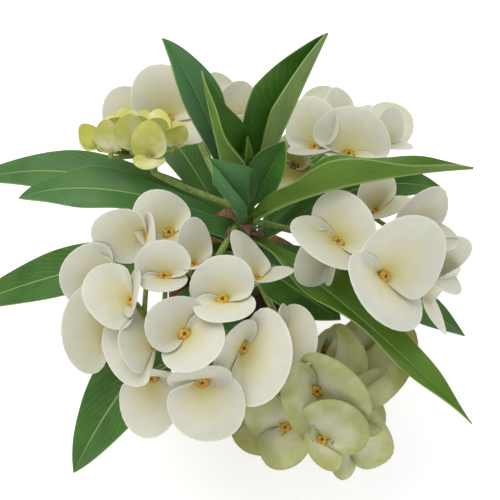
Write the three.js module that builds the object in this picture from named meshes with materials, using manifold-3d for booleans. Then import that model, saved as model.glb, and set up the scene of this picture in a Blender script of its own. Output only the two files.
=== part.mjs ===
// Crown of thorns plant (a large-flowered Euphorbia milii hybrid) standing in a plain clay pot.
// Millimetres, +Z up. The origin is the centre of the pot's flat foot, on the surface it stands on, and
// -Y is the plant's front. One thorny stem rises from the soil. It carries long folded leaves and six
// flower heads: five open ones and one in bud. A flower is a pair of round bracts that overlap around a
// small cup on a forked green stalk.
import * as THREE from "three";
import { mergeVertices } from "three/addons/utils/BufferGeometryUtils.js";
import Module from "manifold-3d";

const wasm = await Module();
wasm.setup();

// ---------- driving dimensions ----------

const POT = { height: 92, footRadius: 37, rimRadius: 52, wall: 5, floor: 6, band: 20, step: 3.5, edge: 1.5 };
const DRAIN = { count: 4, radius: 4, outwards: 20, sides: 10 }; // the holes in the pot's floor
const POT_SIDES = 24;
const SOIL_TOP = POT.height - 12;
const SOIL_MOUND = 5; // how much higher the soil is at the stem than at the wall
// Rings of the mound, from the wall inwards: shares of the soil's radius and of the mound's height.
const SOIL_RINGS = [[1, 0], [0.72, 0.3], [0.4, 0.8], [0, 1]];
const CLEARANCE = 0.35; // gap between pieces that touch

const STEM_SIDES = 10;
// The stem's rings from below the soil to the growing tip: x, y, z and radius.
const STEM = [
  [3, 6, 52, 8.5],
  [3, 6, 86, 9.5],
  [2, 5, 108, 8.6],
  [0, 3, 128, 8.8],
  [-1, 1, 148, 8],
  [0, 0, 168, 8.2],
  [0, 0, 186, 7],
  [0, 1, 198, 4.6],
  [0, 1, 206, 1.8],
];
// Thorns wind up the stem, each a golden turn on from the last. Their length varies by "uneven", as a share
// of it, and their rise from level to twice "rise", in degrees. Each varies in a wave of its own, whose step
// from one thorn to the next is in radians.
const THORN = {
  count: 32, length: 13, uneven: 0.25, radius: 1.6, sides: 3, low: 92, high: 160, rise: 12, root: 0.55,
  lengthWave: 1.7, riseWave: 2.1,
};
const GOLDEN_TURN = 137.5;

const LEAF_THICKNESS = 1;
const LEAF_STEPS = 7;
const LEAF_WIDEST = 0.52; // where along its length a leaf is widest
const LEAF_BASE = 0.2; // how wide its foot is, as a share of its width
const LEAF_RIPPLES = 2.2; // waves along a margin
const LEAF_RIPPLE_LAG = 0.35; // how far the left margin's waves lag, as a share of a wave

const BRACT_THICKNESS = 0.7;
const BRACT_LENGTH = 30; // from the cup to the rim, on a flower of size 1
const BRACT_SPREAD = 140; // how many degrees a bract reaches to each side of its middle line
const BRACT_ROUND = 3; // the higher, the fuller its rim is beside the cup, where its head has no "round"
// The corners of its narrow part and of its rim, in degrees from its middle line. A corner given twice is
// one.
const BRACT_NECK = [-90, -30, -30, 30, 30, 90];
const BRACT_RIM = [-118, -72, -24, 24, 72, 118];
const BRACT_NECK_OUT = 0.42; // how far out the narrow part's corners are, as a share of the way to its rim
const BRACT_ROOT = 0.9; // how far from the stalk's middle a bract starts, inside the stalk
const BRACT_FLARE = 0.3; // how much steeper a bract is at its foot, as a share of what is left to upright
const BRACT_SIDE = 0.45; // how high its sides are, as a share of the height of its middle line
const BRACT_LAP = 2.2; // how far a side lies over or under the middle surface
const BRACT_LAP_FROM = 0.4; // the share of the length at which it has got that far
const CUP = { top: 3.4, low: 1.5, root: 1.4, radius: 3 }; // the small cup that holds a pair of bracts
const STALK = { main: 2.1, fork: 1.6, branch: 1.45, sides: 3 };
const FORKS = { first: 0.31, apart: 0.17 }; // how far out the later forks are, as shares of the reach

// ---------- the plant's layout ----------

// A leaf runs through three points: where it leaves the stem, its middle and its tip. "face" is the way
// its upper side looks at its foot and "twist" how far it has turned about the midrib by its tip. "fold" is
// how far its left and right halves are raised, all in degrees, and "opens" the share of that fold which
// its tip has lost. "wave" is how far its margins ripple and "point" how blunt its tip is. A leaf has these
// where its row says nothing else:
const PLAIN_LEAF = { face: [0, 0, 1], fold: [12, 12], twist: 0, opens: 0, wave: 2, point: 2.2 };
const LEAVES = {
  leaf_top_left: {
    route: [[-4, 5, 182], [-24, 26, 246], [-44, 40, 283]],
    width: 27, face: [0.3, -0.4, 1], fold: [25, 30], wave: 1, point: 1.6,
  },
  leaf_top_front: {
    route: [[-4, -1, 188], [-13, 4, 233], [-22, 22, 276]],
    width: 36, face: [0.9, 0.4, 0.3], fold: [50, 62], twist: -30, opens: 0.5, point: 1.4,
  },
  leaf_top_right: {
    route: [[4, 6, 182], [29, 27, 246], [46, 44, 283]],
    width: 52, face: [-0.1, -0.7, 0.5], fold: [20, 112], wave: 3, point: 1.1,
  },
  leaf_crown_front: {
    route: [[1, -7, 186], [-8, -18, 220], [-20, -12, 244]],
    width: 38, face: [0.6, -0.1, 0.4], fold: [60, 60], wave: 1, point: 1.6,
  },
  leaf_crown_right: {
    route: [[5, -3, 190], [14, 0, 214], [24, 8, 235]],
    width: 26, face: [-0.3, -0.7, 0.5], fold: [30, 40], wave: 1, point: 2.6,
  },
  leaf_crown_rolled: {
    route: [[0, 1, 200], [2, 5, 220], [3, 9, 238]],
    width: 9, face: [0.8, 0.6, 0.2], fold: [45, 45], wave: 0, point: 1.2,
  },
  leaf_right_high: {
    route: [[5, -3, 176], [52, -34, 247], [125, -20, 245]],
    width: 34, face: [0, 0.5, 1], fold: [45, 60], wave: 3, point: 1.2,
  },
  leaf_left_front: {
    route: [[-6, 0, 168], [-80, 6, 193], [-140, 13, 176]],
    width: 26, face: [0, -0.2, 1], fold: [10, 10], wave: 3,
  },
  leaf_left_back: {
    route: [[-5, 4, 152], [-92, 30, 177], [-180, 42, 157]],
    width: 29, face: [0, -0.2, 1], fold: [10, 10],
  },
  leaf_left_low: {
    route: [[-6, 1, 140], [-96, -24, 154], [-184, -32, 116]],
    width: 31, face: [0, -0.2, 1],
  },
  leaf_front_left: { route: [[-4, -5, 136], [-62, -80, 132], [-104, -130, 86]], width: 42 },
  leaf_front: { route: [[-1, -6, 120], [-16, -60, 122], [-24, -100, 98]], width: 32 },
  leaf_front_right: {
    route: [[5, -4, 158], [61, -70, 179], [126, -130, 158]],
    width: 40, face: [0.2, 0.1, 1], fold: [20, 30], wave: 5, point: 1,
  },
  leaf_shade: { route: [[3, -6, 140], [30, -38, 153], [58, -62, 155]], width: 30, face: [0, -0.1, 1] },
  leaf_right_low: { route: [[6, 1, 146], [78, -32, 150], [140, -52, 118]], width: 32, point: 2 },
  leaf_right_back: {
    route: [[5, 4, 136], [72, 34, 158], [132, 34, 156]],
    width: 27, face: [0, -0.1, 1], fold: [14, 14],
  },
  leaf_back_right: { route: [[3, 6, 124], [48, 72, 136], [82, 122, 108]], width: 32, face: [0, 0.1, 1] },
  leaf_back_left: { route: [[-3, 6, 130], [-40, 78, 138], [-66, 134, 108]], width: 32, face: [0, 0.1, 1] },
};

// A head's stalk leaves the stem at "from" and forks at "fork", towards the cups of its flowers, which stand
// at "at". "reach" is about how far that is, and "round" is how full its bracts are beside the cup. A flower's
// two bracts reach the ways given by "tips", each a turn from +X and a rise above the horizon, in degrees,
// and it looks half-way between them. "size" and "width" are shares of a full bract's length and of a round
// bract's width. With a "lap" of -1 each bract lies over the next one anticlockwise, not clockwise. A flower
// has these where its row says nothing else:
const PLAIN_FLOWER = { size: [1, 1], width: [0.8, 0.8], lap: 1 };
const HEADS = {
  head_front_left: {
    from: [-4, -4, 172], fork: [-36, -63, 158], reach: 53,
    flowers: [
      { at: [-42, -68, 210], tips: [[105, 71], [-90, 33]], size: [0.83, 0.67], width: [0.75, 0.75] },
      { at: [-59, -79, 201], tips: [[-177, 26], [20, 76]], size: [1, 0.7], width: [0.85, 0.9] },
      { at: [-31, -97, 198], tips: [[150, 55], [-51, 20]], size: [0.87, 0.93], lap: -1 },
      { at: [-11, -78, 202], tips: [[95, 60], [-81, 29]], size: [0.9, 0.83] },
      { at: [0, -94, 181], tips: [[-41, 14], [-133, 46]], size: [1.13, 0.87], width: [1, 0.9] },
      { at: [-22, -111, 175], tips: [[-78, -26], [-129, 73]], size: [1.2, 0.8], width: [0.7, 0.9] },
      { at: [-46, -100, 194], tips: [[-170, 4], [-160, 37]], size: [0.93, 0.83], width: [1, 0.8] },
      { at: [-29, -59, 205], tips: [[90, 53], [-17, 35]], size: [0.97, 0.8], width: [0.6, 0.8] },
      { at: [-54, -35, 205], tips: [[-168, 17], [-73, 25]], size: [1.13, 0.73], width: [0.6, 0.9] },
      { at: [-43, -31, 198], tips: [[135, 52], [-45, 20]], size: [0.93, 0.8] },
      { at: [-76, -47, 178], tips: [[-176, 27], [-105, 20]], size: [1.03, 0.93], width: [1.05, 0.8] },
      { at: [-76, -70, 159], tips: [[-171, 28], [-60, 40]], size: [1.07, 0.8], width: [1.05, 0.8] },
      { at: [7, -58, 189], tips: [[122, 47], [-2, 31]], size: [1.1, 0.83], width: [0.5, 0.6] },
      { at: [20, -80, 165], tips: [[-28, 37], [-103, 64]], size: [1, 0.93] },
      { at: [-51, -102, 163], tips: [[-91, -25], [-90, 69]], size: [1.2, 0.77], width: [0.58, 0.9] },
    ],
  },
  head_right: {
    from: [5, 0, 170], fork: [85, -25, 175], reach: 50,
    flowers: [
      { at: [73, -63, 206], tips: [[29, 40], [-91, 4]], size: [1.33, 1.1], width: [0.85, 1.2] },
      { at: [55, -46, 212], tips: [[52, 71], [-138, 34]], size: [1.13, 1.13], width: [0.9, 0.9] },
      { at: [95, -32, 204], tips: [[49, 67], [-49, 23]], size: [1.03, 1] },
      { at: [76, -15, 197], tips: [[101, 64], [-20, 40]], size: [0.9, 0.87], width: [1, 0.8] },
      { at: [102, -45, 189], tips: [[4, 51], [-67, 15]], size: [1.03, 1] },
      { at: [98, -57, 176], tips: [[17, 35], [-55, -14]], size: [1, 0.93], width: [0.9, 1] },
      { at: [52, -41, 194], tips: [[-155, 21], [-93, 30]], size: [0.93, 0.73] },
    ],
  },
  head_back_right: {
    from: [4, 5, 164], fork: [69, 71, 158], reach: 38,
    flowers: [
      { at: [64, 31, 195], tips: [[67, 60], [-90, 39]], size: [1.03, 0.67], width: [1, 1], lap: -1 },
      { at: [46, 38, 193], tips: [[107, 52], [-131, 31]], size: [1.13, 0.73], width: [0.7, 0.8] },
      { at: [62, 59, 188], tips: [[133, 60], [-13, 51]], size: [0.93, 0.9] },
      { at: [83, 43, 189], tips: [[63, 60], [-40, 35]], size: [0.9, 0.87] },
      { at: [34, 41, 173], tips: [[110, 67], [-127, 9]], size: [0.8, 0.8] },
      { at: [58, 94, 156], tips: [[110, 42], [110, -45]], size: [0.9, 0.9] },
      { at: [92, 81, 156], tips: [[50, 40], [50, -45]], size: [0.9, 0.9] },
    ],
  },
  head_back_left: {
    from: [-3, 6, 162], fork: [-33, 89, 152], reach: 42,
    flowers: [
      { at: [-49, 58, 197], tips: [[96, 52], [-54, 13]], size: [1.23, 1.07] },
      { at: [-66, 72, 187], tips: [[-174, 34], [-90, 35]], size: [1, 0.87] },
      { at: [-12, 60, 192], tips: [[6, 37], [83, 52]], size: [1.13, 1.07] },
      { at: [-50, 112, 158], tips: [[105, 45], [110, -40]], size: [0.9, 0.9] },
      { at: [-22, 104, 156], tips: [[75, 45], [75, -40]], size: [0.9, 0.9] },
      { at: [-76, 92, 156], tips: [[140, 40], [165, -30]], size: [0.9, 0.9] },
    ],
  },
  head_front_right: {
    from: [3, -6, 134], fork: [46, -90, 112], reach: 34,
    flowers: [
      { at: [41, -106, 153], tips: [[-18, 33], [-118, 11]], size: [1.07, 1.07], width: [1.1, 1.1] },
      { at: [46, -81, 154], tips: [[-43, 13], [-123, 35]], size: [1.1, 0.9], width: [0.85, 0.9] },
      { at: [66, -81, 146], tips: [[156, 63], [-43, 15]], size: [0.87, 1.2], width: [1, 1.2] },
      { at: [63, -108, 138], tips: [[44, 64], [-71, 1]], size: [0.93, 0.93], width: [0.9, 1] },
      { at: [42, -129, 134], tips: [[11, 57], [-89, 25]], size: [0.93, 0.77], width: [1.1, 1] },
      { at: [58, -122, 124], tips: [[-6, 20], [-113, 14]], size: [0.93, 0.87], width: [1, 0.9] },
      { at: [27, -121, 137], tips: [[160, 45], [-80, 8]], size: [0.9, 0.9], width: [0.9, 1.1] },
      { at: [6, -111, 120], tips: [[49, 65], [-72, 2]], size: [0.93, 0.83], width: [1, 0.9] },
    ],
  },
  head_bud: {
    from: [-4, 5, 176], fork: [-54, 20, 192], reach: 24, round: 1.6,
    flowers: [
      { at: [-86, 22, 213], tips: [[133, -10], [138, 48]], size: [0.57, 0.6], width: [0.6, 0.6] },
      { at: [-78, 16, 214], tips: [[94, 18], [108, 70]], size: [0.87, 0.73], width: [0.5, 0.6] },
      { at: [-65, 16, 217], tips: [[94, 24], [94, 69]], size: [0.9, 0.8], width: [0.5, 0.6], lap: -1 },
      { at: [-54, 10, 218], tips: [[90, 74], [-90, 28]], size: [0.8, 0.6], width: [0.7, 0.8] },
      { at: [-52, 22, 217], tips: [[87, 21], [67, 82]], size: [0.73, 0.7], width: [0.6, 0.6] },
      { at: [-41, 20, 215], tips: [[83, 15], [32, 77]], size: [0.63, 0.6], width: [0.6, 0.6], lap: -1 },
      { at: [-73, 27, 209], tips: [[90, 17], [102, 75]], size: [0.8, 0.73], width: [0.5, 0.6] },
      { at: [-61, 27, 210], tips: [[90, 17], [102, 75]], size: [0.8, 0.73], width: [0.5, 0.6] },
    ],
  },
};

// ---------- small tools ----------

const UP = new THREE.Vector3(0, 0, 1);
const Z_UP = new THREE.Matrix4().makeRotationX(Math.PI / 2); // turns three's own +Y up to +Z up
const radians = THREE.MathUtils.degToRad;
const point = (p) => new THREE.Vector3(p[0], p[1], p[2]);

function direction(turn, rise) {
  const polar = new THREE.Spherical(1, radians(90 - rise), radians(90 + turn));
  return new THREE.Vector3().setFromSpherical(polar).applyMatrix4(Z_UP);
}

// A geometry with corners at one place made one, and without the triangles that this leaves with no area.
function welded(geometry) {
  geometry.deleteAttribute("normal");
  geometry.deleteAttribute("uv");
  const merged = mergeVertices(geometry);
  const kept = [];
  for (let i = 0; i < merged.index.count; i += 3) {
    const triangle = [0, 1, 2].map((k) => merged.index.getX(i + k));
    if (new Set(triangle).size === 3) kept.push(...triangle);
  }
  return merged.setIndex(kept);
}

// The body inside a closed geometry.
function solid(geometry) {
  const { attributes, index } = welded(geometry);
  const vertProperties = new Float32Array(attributes.position.array);
  const triVerts = new Uint32Array(index.array);
  return new wasm.Manifold(new wasm.Mesh({ numProp: 3, vertProperties, triVerts }));
}

function union(solids) {
  return wasm.Manifold.union(solids);
}

function geometryOf(made) {
  const { vertProperties, triVerts } = made.getMesh();
  const geometry = new THREE.BufferGeometry();
  geometry.setAttribute("position", new THREE.BufferAttribute(vertProperties, 3));
  return geometry.setIndex(new THREE.BufferAttribute(triVerts, 1));
}

// A sheet of rows and columns of corners, each where "place" puts it.
function sheet(columns, rows, place) {
  const geometry = new THREE.PlaneGeometry(1, 1, columns, rows);
  const { position } = geometry.attributes;
  for (let i = 0; i < position.count; i++) {
    const column = i % (columns + 1);
    position.setXYZ(i, ...place(column, (i - column) / (columns + 1)));
  }
  return geometry;
}

// A closed blade of even thickness around a sheet, with both of its faces split into triangles alike.
function blade(thin, thickness) {
  const middle = welded(thin);
  middle.computeVertexNormals();
  const { position, normal } = middle.attributes;
  const corners = [];
  for (const side of [0.5, -0.5]) {
    for (let i = 0; i < position.count; i++) {
      const shift = new THREE.Vector3().fromBufferAttribute(normal, i).multiplyScalar(side * thickness);
      corners.push(...shift.add(new THREE.Vector3().fromBufferAttribute(position, i)));
    }
  }
  const under = (i) => position.count + i;
  const edges = new Map();
  const triangles = [];
  for (let i = 0; i < middle.index.count; i += 3) {
    const [a, b, c] = [0, 1, 2].map((k) => middle.index.getX(i + k));
    triangles.push(a, b, c, under(a), under(c), under(b));
    for (const edge of [[a, b], [b, c], [c, a]]) edges.set(edge.join(), edge);
  }
  for (const [a, b] of edges.values()) {
    const isRim = !edges.has([b, a].join());
    if (isRim) triangles.push(b, a, under(a), b, under(a), under(b));
  }
  const closed = new THREE.BufferGeometry();
  closed.setAttribute("position", new THREE.Float32BufferAttribute(corners, 3));
  return solid(closed.setIndex(triangles));
}

// A tapering tube through points, with one radius for each point: a cylinder's rings moved to them.
function tube(points, radii, sides) {
  const last = points.length - 1;
  const across = new THREE.Vector3();
  const frames = points.map((p, i) => {
    const along = points[Math.min(i + 1, last)].clone().sub(points[Math.max(i - 1, 0)]).normalize();
    if (i === 0) across.crossVectors(along, Math.abs(along.z) > 0.9 ? new THREE.Vector3(1, 0, 0) : UP);
    across.addScaledVector(along, -across.dot(along)).normalize();
    return new THREE.Matrix4().makeBasis(across, along, along.clone().cross(across)).setPosition(p);
  });
  const geometry = new THREE.CylinderGeometry(1, 1, last, sides, last);
  const { position } = geometry.attributes;
  for (let i = 0; i < position.count; i++) {
    const ring = Math.round(last / 2 - position.getY(i));
    const corner = new THREE.Vector3(position.getX(i), 0, position.getZ(i)).multiplyScalar(radii[ring]);
    position.setXYZ(i, ...corner.applyMatrix4(frames[ring]));
  }
  return solid(geometry);
}

// A solid turned about the Z axis from [radius, height] points, whose ends are on the axis.
function turned(outline, sides) {
  const points = outline.map(([radius, height]) => new THREE.Vector2(radius, height));
  return solid(new THREE.LatheGeometry(points, sides).rotateX(Math.PI / 2));
}

// ---------- pot and soil ----------

function wallRadius(z) {
  return POT.footRadius + ((POT.rimRadius - POT.step - POT.footRadius) * z) / POT.height;
}

function potSolid() {
  const { height, footRadius, rimRadius, wall, floor, step, edge } = POT;
  const band = height - POT.band;
  const inner = (z) => wallRadius(z) - wall;
  const body = turned(
    [
      [0, 0],
      [footRadius, 0],
      [wallRadius(band), band],
      [wallRadius(band) + step, band + edge],
      [rimRadius, height - edge],
      [rimRadius - edge, height],
      [inner(height) + edge, height],
      [inner(height), height - edge],
      [inner(floor), floor],
      [0, floor],
    ],
    POT_SIDES,
  );
  const drains = [];
  for (let i = 0; i < DRAIN.count; i++) {
    const middle = direction((360 * (i + 0.5)) / DRAIN.count, 0).multiplyScalar(DRAIN.outwards);
    const drain = new THREE.CylinderGeometry(DRAIN.radius, DRAIN.radius, 3 * floor, DRAIN.sides);
    drains.push(solid(drain.rotateX(Math.PI / 2).translate(...middle)));
  }
  return body.subtract(union(drains));
}

// The stem, grown by an amount all over.
function stemSolid(grow = 0) {
  return tube(STEM.map(point), STEM.map((ring) => ring[3] + grow), STEM_SIDES);
}

function soilSolid() {
  const inner = (z) => wallRadius(z) - POT.wall - CLEARANCE;
  const low = POT.floor + CLEARANCE;
  const bed = turned(
    [
      [0, low],
      [inner(low), low],
      ...SOIL_RINGS.map(([out, rise]) => [inner(SOIL_TOP) * out, SOIL_TOP + SOIL_MOUND * rise]),
    ],
    POT_SIDES,
  );
  return bed.subtract(stemSolid(CLEARANCE));
}

// ---------- thorns ----------

// The stem's middle at a height, as x, y, z and its radius there.
function stemAt(z) {
  const above = Math.max(1, STEM.findIndex((ring) => ring[2] >= z));
  const [a, b] = [STEM[above - 1], STEM[above]];
  const share = (z - a[2]) / (b[2] - a[2]);
  return a.map((value, i) => value + share * (b[i] - value));
}

function thornSolids(grow = 0) {
  const { count, length, uneven, radius, sides, low, high, rise, root, lengthWave, riseWave } = THORN;
  const thorns = [];
  for (let n = 0; n < count; n++) {
    const [x, y, z, stemRadius] = stemAt(low + ((high - low) * n) / (count - 1));
    const out = direction(n * GOLDEN_TURN, rise * (1 + Math.sin(n * riseWave)));
    const own = length * (1 - uneven + uneven * Math.sin(n * lengthWave));
    const reach = stemRadius * (1 - root) + own + grow;
    const foot = new THREE.Vector3(x, y, z).addScaledVector(out, stemRadius * root);
    const cone = new THREE.ConeGeometry(radius + grow, reach, sides).translate(0, reach / 2, 0);
    const turn = new THREE.Quaternion().setFromUnitVectors(new THREE.Vector3(0, 1, 0), out);
    thorns.push(solid(cone.applyQuaternion(turn).translate(...foot)));
  }
  return thorns;
}

// ---------- leaves ----------

function leafHalfWidth(t, width, sharpness) {
  const base = LEAF_BASE + (1 - LEAF_BASE) * THREE.MathUtils.smoothstep(t, 0, LEAF_WIDEST);
  const taper = Math.max(0, (t - LEAF_WIDEST) / (1 - LEAF_WIDEST));
  return (width / 2) * base * (1 - taper ** sharpness);
}

function leafSolid(leaf) {
  const { route, width, face, fold, twist, opens, wave, point: sharpness } = { ...PLAIN_LEAF, ...leaf };
  const [foot, middle, tip] = route.map(point);
  const pull = middle.multiplyScalar(2).addScaledVector(foot, -0.5).addScaledVector(tip, -0.5);
  const curve = new THREE.QuadraticBezierCurve3(foot, pull, tip);
  const columns = 4;
  const thin = sheet(columns, LEAF_STEPS, (column, row) => {
    const s = (2 * column) / columns - 1;
    const t = row / LEAF_STEPS;
    const along = curve.getTangent(t);
    const normal = point(face);
    normal.addScaledVector(along, -normal.dot(along)).normalize();
    normal.applyAxisAngle(along, radians(twist) * t);
    const right = along.clone().cross(normal);
    const out = leafHalfWidth(t, width, sharpness) * Math.abs(s);
    const raised = radians(s < 0 ? fold[0] : fold[1]) * (1 - opens * t * t);
    const phase = LEAF_RIPPLES * t + (s < 0 ? LEAF_RIPPLE_LAG : 0);
    const ripple = wave * s * s * Math.sin(2 * Math.PI * phase) * Math.sin(Math.PI * t);
    return curve
      .getPoint(t)
      .addScaledVector(right, Math.sign(s) * out * Math.cos(raised))
      .addScaledVector(normal, out * Math.sin(raised) + ripple);
  });
  return blade(thin, LEAF_THICKNESS);
}

// ---------- flower heads ----------

// Where a bract's surface lies in its flower's frame, for a ray in degrees from its middle line and a
// distance out from the cup. Its left side lies over, and its right side under, its pair's.
function bractPoint(ray, out, { length, width, lap, open }) {
  const bend = radians(ray);
  const share = out / length;
  const slope = radians(open + BRACT_FLARE * (90 - open) * (1 - share ** 2));
  const lift = Math.hypot(Math.cos(bend), BRACT_SIDE * Math.sin(bend));
  const over = ((-lap * BRACT_LAP * ray) / BRACT_SPREAD) * Math.min(1, share / BRACT_LAP_FROM);
  return new THREE.Vector3(
    out * Math.cos(slope) * Math.cos(bend),
    out * width * Math.sin(bend),
    out * Math.sin(slope) * lift + over,
  );
}

// A flower's first or second bract.
function bractSolid(flower, n) {
  const length = BRACT_LENGTH * flower.size[n];
  const shape = { length, width: flower.width[n], lap: flower.lap, open: flower.open };
  const rim = (ray) => length * (1 - Math.abs(ray / BRACT_SPREAD) ** flower.round);
  const thin = sheet(BRACT_RIM.length - 1, 2, (column, row) => {
    if (row === 0) return bractPoint(0, BRACT_ROOT, shape);
    if (row === 1) return bractPoint(BRACT_NECK[column], rim(BRACT_NECK[column]) * BRACT_NECK_OUT, shape);
    return bractPoint(BRACT_RIM[column], rim(BRACT_RIM[column]), shape);
  });
  return blade(thin.applyMatrix4(flowerFrame(flower, n)), BRACT_THICKNESS);
}

// A flower's own stalk along a path, and the cup at its end.
function stalkSolid(path, radii, { place, out }) {
  const ends = [-CUP.low, CUP.top].map((z) => place.clone().addScaledVector(out, z));
  return tube([...path, ...ends], [...radii, CUP.root, CUP.radius], STALK.sides);
}

// The forked stalks of a list of flowers, after a path that they share: each fork splits them in two,
// across the way they spread most, and the first half goes on along the path.
function forkedStalks(path, radii, centre, flowers, level, reach) {
  if (flowers.length === 1) return [stalkSolid(path, radii, flowers[0])];
  const middle = flowers.reduce((sum, f) => sum.add(f.out), new THREE.Vector3()).normalize();
  const shareOut = level === 0 ? 0 : FORKS.first + FORKS.apart * (level - 1);
  const split = centre.clone().addScaledVector(middle, reach * shareOut);
  const far = flowers.reduce((best, f) => (f.out.dot(middle) < best.out.dot(middle) ? f : best));
  const across = far.out.clone().addScaledVector(middle, -far.out.dot(middle)).normalize();
  const sorted = [...flowers].sort((a, b) => a.out.dot(across) - b.out.dot(across));
  const half = Math.floor(sorted.length / 2);
  const radius = level === 0 ? STALK.main : STALK.fork;
  return [
    ...forkedStalks([...path, split], [...radii, radius], centre, sorted.slice(0, half), level + 1, reach),
    ...forkedStalks([split], [STALK.branch], centre, sorted.slice(half), level + 1, reach),
  ];
}

// A frame at a flower's cup, its Z the way the flower looks and its X towards a bract's tip.
function flowerFrame({ place, out, ways }, n) {
  const forward = ways[n].clone().addScaledVector(out, -ways[n].dot(out)).normalize();
  return new THREE.Matrix4().makeBasis(forward, out.clone().cross(forward), out).setPosition(place);
}

// A flower's row with all its values, the ways that it and its bracts look and how far its bracts rise.
function flowerOf(row, round) {
  const flower = { ...PLAIN_FLOWER, round, ...row };
  const ways = flower.tips.map((tip) => direction(...tip));
  const out = ways[0].clone().add(ways[1]).normalize();
  const open = THREE.MathUtils.radToDeg(Math.asin(ways[0].dot(out)));
  return { ...flower, place: point(flower.at), ways, out, open };
}

function headSolid({ from, fork, reach, round = BRACT_ROUND, flowers }) {
  const list = flowers.map((row) => flowerOf(row, round));
  const stalks = forkedStalks([point(from)], [STALK.main], point(fork), list, 0, reach);
  return union([...stalks, ...list.flatMap((flower) => [bractSolid(flower, 0), bractSolid(flower, 1)])]);
}

// ---------- assembly ----------

const CLAY = { color: 0xb5643c, roughness: 0.85, metalness: 0 };
const EARTH = { color: 0x3a2a1e, roughness: 1, metalness: 0 };
const BARK = { color: 0x6a6a4c, roughness: 0.8, metalness: 0 };
const LEAF_GREEN = { color: 0x3f6b2e, roughness: 0.5, metalness: 0 };
const CREAM = { color: 0xece9d6, roughness: 0.6, metalness: 0 };
const PALE_GREEN = { color: 0xc9d0ac, roughness: 0.6, metalness: 0 };
const BUD_GREEN = { color: 0xc6cf74, roughness: 0.6, metalness: 0 };
const HEAD_FINISH = { head_front_right: PALE_GREEN, head_bud: BUD_GREEN }; // the others are cream

const plant = new THREE.Group();

function add(name, made, finish) {
  const mesh = new THREE.Mesh(geometryOf(made), new THREE.MeshStandardMaterial(finish));
  mesh.name = name;
  plant.add(mesh);
}

// What is left of a piece once the stem, with a clearance around it, is cut away: its largest body.
const stemSpace = union([stemSolid(CLEARANCE), ...thornSolids(CLEARANCE)]);
function clearOfStem(made) {
  const bodies = made.subtract(stemSpace).decompose();
  return bodies.reduce((best, body) => (body.volume() > best.volume() ? body : best));
}

add("pot", potSolid(), CLAY);
add("soil", soilSolid(), EARTH);
add("thorny_stem", union([stemSolid(), ...thornSolids()]), BARK);
for (const [name, leaf] of Object.entries(LEAVES)) {
  add(name, clearOfStem(leafSolid(leaf)), LEAF_GREEN);
}
for (const [name, head] of Object.entries(HEADS)) {
  add(name, clearOfStem(headSolid(head)), HEAD_FINISH[name] ?? CREAM);
}

export default plant;
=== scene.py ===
"""Crown of thorns plant, a large-flowered Euphorbia milii hybrid, in a plain clay pot.

Every piece is built in metres around the packed solids, +Z up, with -Y the plant's front. The layout tables are in
millimetres.
"""

from math import asin, cos, exp, pi, radians, sin, tau

import bmesh
import bpy
from bpy.props import FloatProperty, FloatVectorProperty, PointerProperty
from mathutils import Matrix, Quaternion, Vector, noise
from mathutils.geometry import interpolate_bezier


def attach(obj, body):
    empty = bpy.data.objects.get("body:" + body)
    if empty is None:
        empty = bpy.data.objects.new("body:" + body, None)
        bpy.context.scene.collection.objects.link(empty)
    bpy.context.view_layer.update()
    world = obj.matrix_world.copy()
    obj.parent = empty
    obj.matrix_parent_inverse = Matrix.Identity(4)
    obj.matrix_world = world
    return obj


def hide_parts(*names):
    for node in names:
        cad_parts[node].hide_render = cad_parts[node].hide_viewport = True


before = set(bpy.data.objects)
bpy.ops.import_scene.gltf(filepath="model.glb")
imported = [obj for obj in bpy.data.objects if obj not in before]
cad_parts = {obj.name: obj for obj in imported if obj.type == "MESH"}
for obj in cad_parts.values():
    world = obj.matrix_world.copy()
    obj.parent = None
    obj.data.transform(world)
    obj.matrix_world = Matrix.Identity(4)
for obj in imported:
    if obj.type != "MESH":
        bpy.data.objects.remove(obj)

bl_info = {
    "name": "Crown of Thorns Plant",
    "version": (1, 0, 0),
    "blender": (4, 5, 0),
    "location": "3D View > Sidebar > Crown of Thorns",
    "description": "Builds a potted crown of thorns plant piece by piece",
    "category": "Add Mesh",
}

MM = 0.001
UP = Vector((0, 0, 1))
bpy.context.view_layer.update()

# ---------- layout, in millimetres ----------

# The stem's rings from below the soil to the growing tip: x, y, z and radius.
STEM = [
    (3, 6, 52, 8.5),
    (3, 6, 86, 9.5),
    (2, 5, 108, 8.6),
    (0, 3, 128, 8.8),
    (-1, 1, 148, 8),
    (0, 0, 168, 8.2),
    (0, 0, 186, 7),
    (0, 1, 198, 4.6),
    (0, 1, 206, 1.8),
]
# Its bark is green above the first of these heights and corky below the second.
YOUNG_BARK = 188
OLD_BARK = 125
# Thorns wind up the stem and withered scales stand between the feet of its leaves, each a golden turn from the last.
GOLDEN_TURN = 137.5
THORNS = 32
THORN_LOW = 92
THORN_HIGH = 160
# How thick a thorn is along its length, as shares of its length and of its radius.
THORN_SHAPE = ((0, 1.15), (0.12, 0.85), (0.3, 0.62), (0.55, 0.42), (0.8, 0.22), (1, 0.06))
SCALES = 18
SCALE_LOW = 146
SCALE_HIGH = 180

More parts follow.
